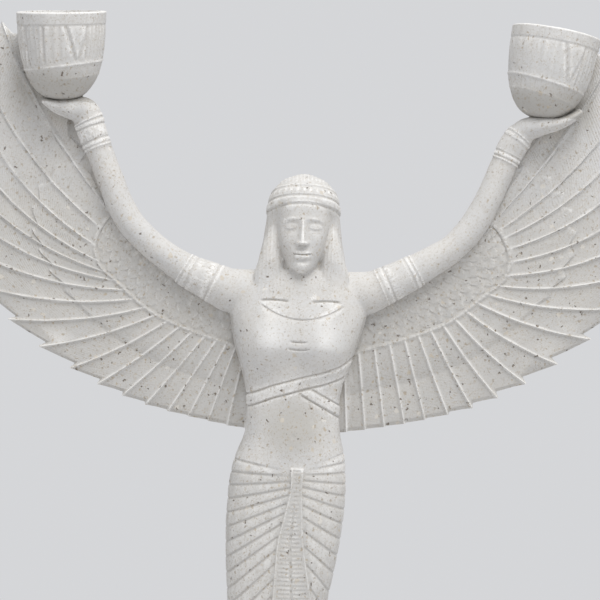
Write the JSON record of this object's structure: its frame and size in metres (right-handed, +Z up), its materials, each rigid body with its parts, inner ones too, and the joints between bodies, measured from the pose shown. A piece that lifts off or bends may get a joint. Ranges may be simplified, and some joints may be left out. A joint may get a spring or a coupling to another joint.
{
  "type": "winged goddess statue",
  "caption": "Carved stone statue of a standing winged goddess on a low plinth, arms raised to hold two small open cups.",
  "frame": {"origin": "middle of the plinth's underside", "axes": "+Z up, the goddess faces -Y, +X to the right of someone facing her"},
  "size_m": [0.3625, 0.092, 0.4429],
  "materials": {
    "limestone": "rough matte carved stone with fine flecks and pits"
  },
  "bodies": {
    "root": {"isis_statue": "limestone"}
  },
  "joints": []
}
